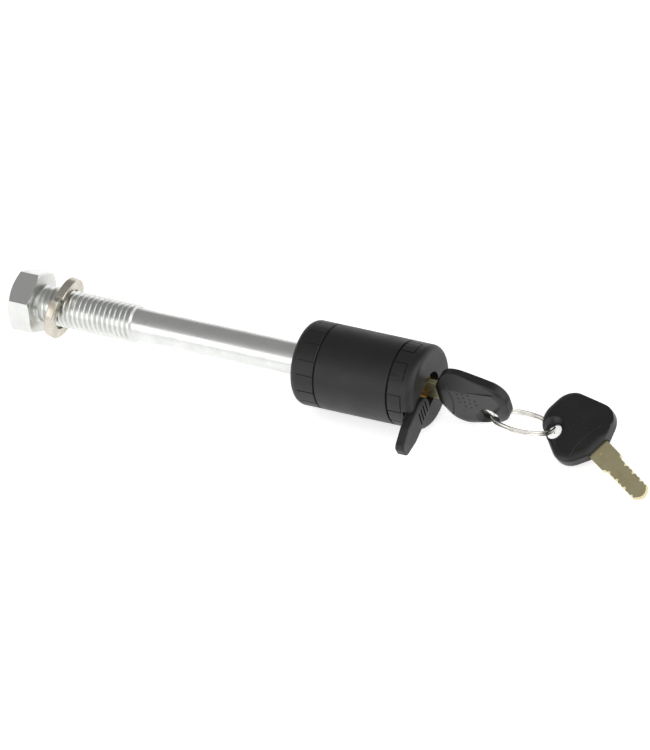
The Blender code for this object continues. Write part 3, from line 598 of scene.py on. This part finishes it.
class HITCH_OT_pin(bpy.types.Operator):
    """Hex head, thread, shank, locking groove and nose"""
    bl_idname = "hitch.pin"
    bl_label = "Pin"

    def head(self, sizes):
        """A hexagon turned down at its corners, with its edges broken."""
        corner = sizes.flats / 2 / math.cos(math.pi / 6)
        angles = [HEX_TURN + k * math.pi / 3 for k in range(6)]
        outline = [(corner * math.cos(angle), corner * math.sin(angle)) for angle in angles]
        slope = HEX_CHAMFER
        flat = sizes.flats / 2 - 0.5
        reach = corner + 1.5
        length = sizes.head_length
        turned = lathe([(-0.5, 0), (-0.5, flat - 0.5 / slope), ((reach - flat) * slope, reach),
                        (length - 1.1, reach), (length + 0.3, flat + 0.5), (length + 0.3, 0)])
        return softened(carved(prism(outline, 0, length, ALONG_PIN), [turned], "INTERSECT"), 0.18, 2, 14)

    def shaft(self, sizes):
        """The turned core from inside the head to the nose."""
        shank = sizes.shank_radius
        groove, half = GROOVE_RADIUS, GROOVE_HALF_WIDTH
        step = shank - groove
        profile = [(sizes.head_length / 2, 0), (sizes.head_length / 2, sizes.root_radius),
                   (sizes.thread_end + 0.3, sizes.root_radius), (sizes.thread_end + 0.7, shank)]
        for x in range(60, int(BALL_X) - 5, 6):
            profile.append((float(x), shank))
        profile += [(BALL_X - half - step, shank), (BALL_X - half, groove), (BALL_X + half, groove),
                    (BALL_X + half + step, shank), (PIN_END - 1.6, shank), (PIN_END - 1.2, shank - 0.25),
                    (PIN_END - 0.2, shank - 1.4), (PIN_END, shank - 1.7), (PIN_END, 0)]
        return lathe(profile, 96)

    def thread(self, sizes):
        """One ridge with a rounded crest, wound from under the head and chamfered at its end."""
        root, crest, pitch = sizes.root_radius, sizes.thread_radius, sizes.pitch
        foot = pitch * 0.36
        ridge = [(-foot - 0.1, root - 0.25), (-foot, root), (-0.26, crest - 0.16), (-0.14, crest - 0.03),
                 (0.14, crest - 0.03), (0.26, crest - 0.16), (foot, root), (foot + 0.1, root - 0.25)]
        start = sizes.head_length - 1.0
        turns = (sizes.thread_end - start) / pitch
        bm = coil([(x + start, r) for x, r in ridge], turns, 72, pitch)
        for vert in bm.verts:
            radius = math.hypot(vert.co.y, vert.co.z)
            limit = root - 0.2 + max(0.0, sizes.thread_end + 0.4 - vert.co.x) * 0.8
            if radius > limit:
                vert.co.y *= limit / radius
                vert.co.z *= limit / radius
        return bm

    def execute(self, context):
        sizes = context.scene.hitch_pin
        zinc = finishes()["zinc_plate"]
        finished("pin_head", self.head(sizes), zinc, "pin", "hitch_pin", sharp=40)
        for name, bm in (("pin_shaft", self.shaft(sizes)), ("pin_thread", self.thread(sizes))):
            finished(name, bm, zinc, "pin")
        return {"FINISHED"}


class HITCH_OT_washer(bpy.types.Operator):
    """Split lock washer, cocked on the thread"""
    bl_idname = "hitch.washer"
    bl_label = "Lock washer"

    def execute(self, context):
        middle = (WASHER_LOW + WASHER_HIGH) / 2
        half, inner, outer = WASHER_HALF_THICKNESS, WASHER_INNER, WASHER_OUTER
        corners = [(-half, inner, 0.3), (half, inner, 0.3), (half, outer, 0.55), (-half, outer, 0.55)]
        section = rounded(corners, 3)
        share = 1 - WASHER_GAP / math.tau
        lean = Matrix.Translation((-WASHER_SPREAD / 2, 0, 0))
        start = Matrix.Rotation(WASHER_SPLIT + WASHER_GAP / 2 - math.pi / 2, 4, "X")
        tilt = Vector((1, 0, 0)).rotation_difference(Vector(WASHER_AXIS)).to_matrix().to_4x4()
        place = Matrix.Translation((middle.x, 0, 0)) @ tilt @ start @ lean
        bm = coil(section, share, 120, WASHER_SPREAD / share, place)
        finished("split_washer", ends_broken(bm), finishes()["washer_steel"], "washer", "lock_washer")
        return {"FINISHED"}


def pad_lines(sizes, seam, far, closed):
    """Cutters for the outlines of the pads: two lines each from the seam, and one across where closed."""
    low, high = min(seam, far), max(seam, far)
    half = sizes.pad_width / 2
    floor = BARREL_RADIUS - sizes.line_depth
    straight, across = [], []
    for k in range(sizes.pads):
        turn = Matrix.Rotation(math.tau * (k + 0.5) / sizes.pads, 4, "X")
        for side in (-1, 1):
            line = block((low, -sizes.line_width / 2, floor), (high, sizes.line_width / 2, BARREL_RADIUS + 2))
            angle = -side * half / BARREL_RADIUS
            straight.append(moved(line, turn @ Matrix.Rotation(angle, 4, "X")))
        if closed:
            width = sizes.line_width
            top = BARREL_RADIUS + 2
            bar = [(far - width, floor), (far, floor), (far, top), (far - width, top)]
            wide = 2 * half / BARREL_RADIUS
            arc = coil(bar, wide / math.tau, 24 * math.tau / wide, 0.0)
            across.append(moved(arc, turn @ Matrix.Rotation(-wide / 2, 4, "X")))
    tools = [gathered(straight)]
    if across:
        tools.append(gathered(across))
    return tools


def slide_place():
    """u points the way that the dust cover opens, v across it and w along the barrel."""
    out = -SLIDE_AXIS.normalized()
    return axes(out, Vector((1, 0, 0)).cross(out), (1, 0, 0))


class HITCH_OT_covers(bpy.types.Operator):
    """The three black covers round the lock"""
    bl_idname = "hitch.covers"
    bl_label = "Barrel covers"

    def rear(self, sizes):
        x0, x1, radius = REAR_LOW.x, REAR_HIGH.x, BARREL_RADIUS
        inner = radius - COVER_WALL
        profile = [(x0 + 0.5, 7.1), (x0, 7.6)] + quarter(x0, radius, sizes.rear_round, 1)
        profile += [(x1 - 0.25, radius), (x1, radius - 0.25), (x1, inner + REBATE),
                    (x1 - LAP, inner + REBATE), (x1 - LAP, inner), (x0 + 3.0, inner), (x0 + 3.0, 9.5),
                    (x0 + 0.8, 9.5), (x0 + 0.8, 7.1)]
        far = x0 + sizes.rear_round + 0.6
        return softened(carved(lathe(profile), pad_lines(sizes, x1 + 1, far, False)), 0.07, 1, 40)

    def sleeve(self):
        x0, x1, radius = SLEEVE_LOW.x, SLEEVE_HIGH.x, BARREL_RADIUS
        inner = radius - COVER_WALL
        lip, reach = inner + REBATE - 0.1, LAP - 0.2
        return lathe([(x0 - reach, inner), (x0 - reach, lip), (x0, lip),
                      (x0, radius - 0.28), (x0 + 0.08, radius - 0.1), (x0 + 0.28, radius),
                      (x1 - 0.28, radius), (x1 - 0.08, radius - 0.1), (x1, radius - 0.28),
                      (x1, lip), (x1 + reach, lip), (x1 + reach, inner)])

    def front(self, sizes):
        x0, x1, radius = FRONT_LOW.x, FRONT_HIGH.x, BARREL_RADIUS
        inner, wall = radius - COVER_WALL, x1 - 3.7
        round_off = quarter(x1, radius, sizes.front_round, -1)[::-1]
        profile = [(x0 + LAP, inner), (x0 + LAP, inner + REBATE), (x0, inner + REBATE),
                   (x0, radius - 0.25), (x0 + 0.25, radius)] + round_off
        profile += [(x1, 0), (wall, 0), (wall, inner)]
        channels = []
        # a channel for the cover, with an undercut for its rails
        for half, low, high in ((5.75, x1 - 2.2, x1 + 1), (6.7, wall - 0.4, x1 - 1.9)):
            outline = rounded([(-7.0, half, half - 0.05), (-7.0, -half, half - 0.05),
                               (radius + 3, -half, 0.1), (radius + 3, half, 0.1)], 20)
            channels.append(prism(outline, low, high, slide_place()))
        lines = pad_lines(sizes, x0 - 1, x0 + 6.4, True)
        return softened(carved(lathe(profile), channels + lines), 0.10, 2, 40)

    def execute(self, context):
        sizes = context.scene.hitch_barrel
        black = finishes()["black_plastic"]
        finished("cover_rear_band", self.rear(sizes), black, "lock_body", "rear_cap")
        finished("cover_sleeve", self.sleeve(), black, "lock_body", "outer_sleeve")
        finished("cover_front_band", self.front(sizes), black, "lock_body", "front_cap")
        return {"FINISHED"}


class HITCH_OT_dust_cover(bpy.types.Operator):
    """The sliding cover with its grip grooves, rails and finger tab"""
    bl_idname = "hitch.dust_cover"
    bl_label = "Dust cover"

    def execute(self, context):
        place = slide_place()
        half = COVER_HALF_WIDTH
        back, front = FRONT_HIGH.x - COVER_BACK, FRONT_HIGH.x + COVER_PROUD
        outline = rounded([(COVER_TOP, half, half - 0.1), (COVER_TOP, -half, half - 0.1),
                           (COVER_SHOULDER, -half, 6.0), (COVER_TIP, -2.9, 2.6), (COVER_TIP, 2.9, 2.6),
                           (COVER_SHOULDER, half, 6.0)], 14)
        slab = softened(prism(outline, back, front, place), 0.5, 4)
        edge = half + RAIL_REACH
        start, end = RAIL_RUN
        rail = softened(prism([(start, edge), (start, -edge), (end, -edge), (end, edge)],
                              back + 0.05, back + 0.8, place), 0.15, 2)
        across = rounded([(-0.42, -3.3, 0.4), (0.42, -3.3, 0.4), (0.42, 3.3, 0.4), (-0.42, 3.3, 0.4)], 5)
        grooves = []
        for k in range(GRIP_COUNT):
            seat = Matrix.Translation((GRIP_FIRST[0] + GRIP_PITCH * k, GRIP_FIRST[1], 0))
            seat = place @ seat @ Matrix.Rotation(GRIP_TURN, 4, "Z")
            grooves.append(prism(across, front - GRIP_DEPTH, front + 1, seat))
        slab = softened(carved(slab, [gathered(grooves)]), 0.08, 2, 42)
        black = finishes()["black_plastic"]
        finished("cover_slide", gathered([slab, rail]), black, "cover", "dust_cover")
        return {"FINISHED"}


def inserted_place():
    """u from the blade into the head, v toward the ring hole, w through the key: the key in the lock."""
    return axes((1, 0, 0), (0, 0, -1), (0, 1, 0), (SHOULDER_X, 0, 0))


def spare_place():
    """The same for the spare key, from its hole's place and axis."""
    back = Vector((-math.cos(SPARE_YAW), -math.sin(SPARE_YAW), 0))
    normal = SPARE_NORMAL.normalized()
    side = normal.cross(back)
    return axes(back, side, normal, SPARE_HOLE_PLACE - back * KEY_HOLE[0] - side * KEY_HOLE[1])


class HITCH_OT_keys(bpy.types.Operator):
    """Both keys: nickel-silver blades with black moulded heads"""
    bl_idname = "hitch.keys"
    bl_label = "Keys"

    def blade(self, place):
        """Cut on both edges, with a milled line on each face and a rounded tip."""
        wide, narrow, thick = BLADE_HALF_WIDE, BLADE_HALF_NARROW, BLADE_HALF_THICKNESS
        upper = [(-TANG, 3.4), (-0.6, 3.4), (-0.6, wide), (BLADE_WIDE_RUN, wide),
                 (BLADE_WIDE_RUN + 0.9, narrow)]
        lower = list(upper)
        for side, depths in ((upper, UPPER_CUTS), (lower, LOWER_CUTS)):
            for k, depth in enumerate(depths):
                start = BLADE_WIDE_RUN + CUT_FIRST + CUT_PITCH * k
                for step in range(9):
                    fall = 0.5 - 0.5 * math.cos(math.tau * step / 8)
                    side.append((start + CUT_WIDTH * step / 8, narrow - depth * fall ** 0.7))
        tip = [(BLADE_LENGTH - 2.2, 3.2), (BLADE_LENGTH - 1.2, 2.4), (BLADE_LENGTH - 0.4, 1.4),
               (BLADE_LENGTH, 0.0)]
        upper += tip
        lower += tip[:-1]
        outline = upper + [(t, -c) for t, c in reversed(lower)]
        bm = softened(prism(outline, -thick, thick), 0.12, 2)
        grooves = [block((2.5, 0.2, side * thick - 0.32), (BLADE_LENGTH - 4, 1.1, side * thick + 0.32))
                   for side in (-1, 1)]
        bm = carved(bm, [gathered(grooves)])
        return moved(bm, place @ Matrix.Scale(-1, 4, (1, 0, 0)))

    def outline(self, sizes):
        half, length = sizes.head_half_width, sizes.head_length
        return rounded([(HEAD_START, 4.8, 3.6), (7.0, half + 2.6, 9.0), (length + 0.4, 8.6, 9.0),
                        (length + 0.4, -8.6, 9.0), (7.0, -half - 2.6, 9.0), (HEAD_START, -4.8, 3.6)], 12)

    def head(self, sizes, place):
        """A domed plate with a deep dish round the ring hole, a side facet, a curved groove and dots."""
        bm = prism(self.outline(sizes), -HEAD_EDGE, HEAD_EDGE)
        for side in (-1, 1):
            flats = [face for face in bm.faces if len(face.verts) > 8]
            face = max(flats, key=lambda flat: flat.calc_center_median().z * side)
            for inward, rise in HEAD_CROWN:
                bm.normal_update()
                bmesh.ops.inset_region(bm, faces=[face], thickness=inward, depth=rise, use_even_offset=True)
        tools = [self.pocket(), self.dish()]
        for side in (-1, 1):
            tools += self.face_marks(side)
        bm = softened(carved(bm, tools), 0.10, 2, 42)
        return moved(bm, place)

    def pocket(self):
        """The slot that the blade is moulded into."""
        high, thick = BLADE_HALF_WIDE + BORE_GAP, BLADE_HALF_THICKNESS + 0.05
        return block((-2, -high, -thick), (TANG + BORE_GAP, high, thick))

    def dish(self):
        """The ring hole: a narrow web between two deep bowls."""
        bowl = []
        for k in range(7):
            share = k / 6
            bowl.append((0.7 + 3.1 * share, 3.4 + 3.7 * share ** 1.6))
        profile = [(-x, r) for x, r in reversed(bowl)] + bowl
        profile = [(profile[0][0], 0)] + profile + [(profile[-1][0], 0)]
        upright = Matrix.Rotation(-math.pi / 2, 4, "Y")
        return moved(lathe(profile, 64), Matrix.Translation((*KEY_HOLE, 0)) @ upright)

    def face_marks(self, side):
        """Cutters for one face: the facet, the rows of dots and the crescent groove."""
        high = side * HEAD_HALF_THICKNESS
        facet = block((-6, -40, min(0, 6 * side)), (46, 0, max(0, 6 * side)))
        lean = Matrix.Rotation(side * math.radians(11), 4, "X") @ Matrix.Rotation(math.radians(-7), 4, "Z")
        seat = Matrix.Translation((16, -6.2, high - 0.12 * side))
        facet = moved(facet, seat @ lean @ Matrix.Translation((-16, 0, 0)))
        dots = []
        for row, count in enumerate(DOT_ROWS):
            for k in range(count):
                dot = bmesh.new()
                bmesh.ops.create_icosphere(dot, subdivisions=2, radius=DOT_RADIUS)
                u = 11.0 + DOT_PITCH * row
                v = -1.6 + DOT_PITCH * (k - (count - 1) / 2) + 0.35 * row
                dots.append(moved(dot, Matrix.Translation((u, v, high + 0.05 * side))))
        wire = [(0.42 * math.cos(angle), CRESCENT_RADIUS + 0.42 * math.sin(angle))
                for angle in (math.tau * k / 10 for k in range(10))]
        arc = coil(wire, CRESCENT_SWEEP / math.tau, 40 * math.tau / CRESCENT_SWEEP, 0.0)
        upright = Matrix.Rotation(math.pi / 2, 4, "Y") @ Matrix.Rotation(-CRESCENT_SWEEP / 2, 4, "X")
        centre = Matrix.Translation((-14.0, 0.5, high))
        return [facet, gathered(dots), moved(arc, centre @ upright)]

    def execute(self, context):
        sizes = context.scene.hitch_keys
        made = finishes()
        for key, place in (("key", inserted_place()), ("spare_key", spare_place())):
            blade = self.blade(place)
            bmesh.ops.recalc_face_normals(blade, faces=blade.faces)
            finished(f"{key}_bit", blade, made["key_nickel"], key, f"{key}_blade")
            finished(f"{key}_grip", self.head(sizes, place), made["key_plastic"], key, f"{key}_head")
        return {"FINISHED"}


class HITCH_OT_ring(bpy.types.Operator):
    """Split ring of two turns through both keys"""
    bl_idname = "hitch.ring"
    bl_label = "Key ring"

    def execute(self, context):
        sizes = context.scene.hitch_keys
        start, end = KEY_HOLE_PLACE, SPARE_HOLE_PLACE
        along = (end - start).normalized()
        radius = (end - start).length / 2 - RING_SLACK
        toward = Vector((0, -math.cos(RING_RISE), math.sin(RING_RISE)))
        toward = (toward - along * toward.dot(along)).normalized()
        normal = along.cross(toward)
        circle = [(sizes.wire * math.cos(angle), radius + sizes.wire * math.sin(angle))
                  for angle in (math.tau * k / 14 for k in range(14))]
        begin = Matrix.Rotation(RING_START - math.pi / 2, 4, "X")
        place = axes(normal, along, toward, (start + end) / 2 - normal * sizes.ring_pitch) @ begin
        bm = coil(circle, RING_TURNS, 120, sizes.ring_pitch, place)
        finished("split_ring", ends_broken(bm), finishes()["ring_steel"], "ring", "key_ring")
        return {"FINISHED"}


class HITCH_OT_works(bpy.types.Operator):
    """Finishes of the mechanism inside, whose shapes come from the frame"""
    bl_idname = "hitch.works"
    bl_label = "Lock works"

    def execute(self, context):
        made = finishes()
        for row in frame["record"]["subparts"]:
            node = frame["nodes"][row["node"]]
            node.data.materials.clear()
            node.data.materials.append(made[row["material_slot"]])
        return {"FINISHED"}


class HITCH_OT_stage(bpy.types.Operator):
    """Pale floor, soft lights and the camera"""
    bl_idname = "hitch.stage"
    bl_label = "Stage"

    frame_width: FloatProperty(name="Frame width", default=0.2628,
                               description="Width of the view at the lock")

    def floor(self, height):
        bm = bmesh.new()
        bmesh.ops.create_grid(bm, x_segments=1, y_segments=1, size=6.0)
        bmesh.ops.translate(bm, verts=bm.verts, vec=(0, 0, height))
        mesh = bpy.data.meshes.new("floor")
        bm.to_mesh(mesh)
        bm.free()
        made = bpy.data.objects.new("floor", mesh)
        bpy.context.collection.objects.link(made)
        paper = bpy.data.materials.new("floor_paper")
        paper.use_nodes = True
        shader = paper.node_tree.nodes["Principled BSDF"]
        shader.inputs["Base Color"].default_value = (FLOOR_SHADE, FLOOR_SHADE, FLOOR_SHADE, 1)
        shader.inputs["Roughness"].default_value = 0.9
        shader.inputs["Emission Color"].default_value = (1, 1, 1, 1)
        shader.inputs["Emission Strength"].default_value = FLOOR_GLOW
        mesh.materials.append(paper)

    def lamp(self, name, place, size, power):
        light = bpy.data.lights.new(name, "AREA")
        light.size = size
        light.energy = power
        made = bpy.data.objects.new(name, light)
        made.location = place
        made.rotation_mode = "QUATERNION"
        made.rotation_quaternion = (Vector(LAMP_AIM) - Vector(place)).to_track_quat("-Z", "Y")
        bpy.context.collection.objects.link(made)

    def camera(self):
        """Long lens, 25 degrees off the pin's side, rolled so that the pin falls 12.4 degrees."""
        lean, roll = VIEW_LEAN, VIEW_ROLL
        down = Vector(VIEW_DOWN).normalized()
        depth = Vector((0, down.z, -down.y))
        toward = Vector((1, 0, 0)) * math.sin(lean) + depth * math.cos(lean)
        run = (Vector((1, 0, 0)) - toward * toward.x).normalized()
        right = run * math.cos(roll) - down * math.sin(roll)
        up = -(run * math.sin(roll) + down * math.cos(roll))
        data = bpy.data.cameras.new("camera")
        data.lens = LENS
        distance = self.frame_width * VIEW_SHAPE * data.lens / data.sensor_width
        target = Vector((VIEW_AIM, 0, 0)) + right * VIEW_SHIFT[0] + up * VIEW_SHIFT[1]
        made = bpy.data.objects.new("camera", data)
        made.rotation_mode = "QUATERNION"
        made.rotation_quaternion = Matrix((right, up, toward)).transposed().to_quaternion()
        made.location = target + toward * distance
        bpy.context.collection.objects.link(made)
        bpy.context.scene.camera = made

    def execute(self, context):
        self.floor(CAD_BOX[0].z)
        for name, place, size, power in LAMPS:
            self.lamp(name, place, size, power)
        context.scene.view_settings.view_transform = "Standard"
        world = bpy.data.worlds.new("studio")
        world.use_nodes = True
        world.node_tree.nodes["Background"].inputs["Color"].default_value = (1, 1, 1, 1)
        world.node_tree.nodes["Background"].inputs["Strength"].default_value = SKY_GLOW
        context.scene.world = world
        self.camera()
        return {"FINISHED"}


class HITCH_PT_panel(bpy.types.Panel):
    """Lists the settings and the steps in order"""
    bl_label = "Hitch pin lock"
    bl_idname = "HITCH_PT_panel"
    bl_space_type = "VIEW_3D"
    bl_region_type = "UI"
    bl_category = "Hitch Lock"

    def draw(self, context):
        for label, group in (("Pin", context.scene.hitch_pin), ("Barrel", context.scene.hitch_barrel),
                             ("Keys", context.scene.hitch_keys), ("Finishes", context.scene.hitch_finish)):
            box = self.layout.box()
            box.label(text=label)
            for name in group.bl_rna.properties.keys():
                if name not in ("rna_type", "name"):
                    box.prop(group, name)
        for step in STEPS:
            self.layout.operator(step.bl_idname)


GROUPS = {"hitch_pin": PinSettings, "hitch_barrel": BarrelSettings, "hitch_keys": KeySettings,
          "hitch_finish": FinishSettings}
STEPS = (HITCH_OT_works, HITCH_OT_pin, HITCH_OT_washer, HITCH_OT_covers, HITCH_OT_dust_cover,
         HITCH_OT_keys, HITCH_OT_ring, HITCH_OT_stage)


def register():
    for item in (*GROUPS.values(), *STEPS, HITCH_PT_panel):
        bpy.utils.register_class(item)
    for name, kind in GROUPS.items():
        setattr(bpy.types.Scene, name, PointerProperty(type=kind))


def unregister():
    for name in GROUPS:
        delattr(bpy.types.Scene, name)
    for item in reversed((*GROUPS.values(), *STEPS, HITCH_PT_panel)):
        bpy.utils.unregister_class(item)


def main():
    register()
    bpy.ops.hitch.works()
    bpy.ops.hitch.pin()
    bpy.ops.hitch.washer()
    bpy.ops.hitch.covers()
    bpy.ops.hitch.dust_cover()
    bpy.ops.hitch.keys()
    bpy.ops.hitch.ring()
    bpy.ops.hitch.stage()


if __name__ == "__main__":
    main()
